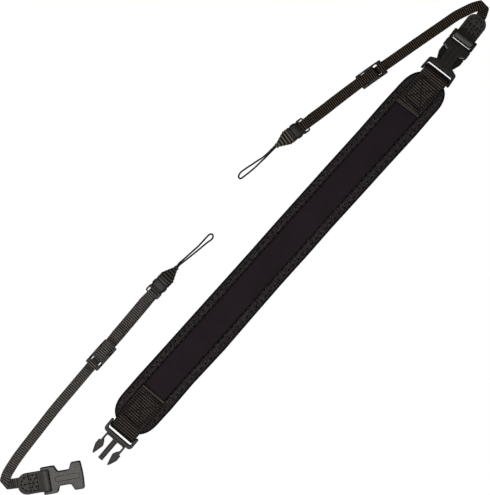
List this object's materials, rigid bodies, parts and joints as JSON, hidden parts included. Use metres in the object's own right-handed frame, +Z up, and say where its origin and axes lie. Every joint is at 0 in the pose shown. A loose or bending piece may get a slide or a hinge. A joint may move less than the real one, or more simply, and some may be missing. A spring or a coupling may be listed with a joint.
{
  "type": "camera neck strap",
  "caption": "Padded neck strap laid flat, with side release buckles, sliding adjusters, small connectors and thin cord loops at the ends of its arms.",
  "frame": {"origin": "middle of the neck pad's underside, on the surface the strap lies on", "axes": "+X along the neck pad from the end with the open buckle to the end with the fastened buckle, +Y towards the side both arms lie on, +Z up out of the pad's outer face"},
  "size_m": [0.6555, 0.1019, 0.008],
  "materials": {
    "panel": "smooth matt stretch knit over foam",
    "tape": "woven tape, zigzag stitched",
    "webbing": "ribbed woven webbing",
    "plastic": "moulded, satin",
    "leather": "grained, stitched",
    "cord": "fine braided cord"
  },
  "bodies": {
    "root": {"neck_pad": "panel", "edge_binding": "tape", "pad_webbing_left": "webbing", "pad_webbing_right": "webbing", "male_buckle_left": "plastic", "female_buckle_left": "plastic", "female_buckle_right": "plastic", "male_buckle_right": "plastic", "leather_tab_left": "leather", "leather_tab_right": "leather", "strap_left": "webbing", "strap_right": "webbing", "adjuster_left": "plastic", "adjuster_right": "plastic", "connector_socket_left": "plastic", "connector_socket_right": "plastic", "connector_tip_left": "plastic", "connector_tip_right": "plastic", "cord_loop_left": "cord", "cord_loop_right": "cord"}
  },
  "joints": []
}
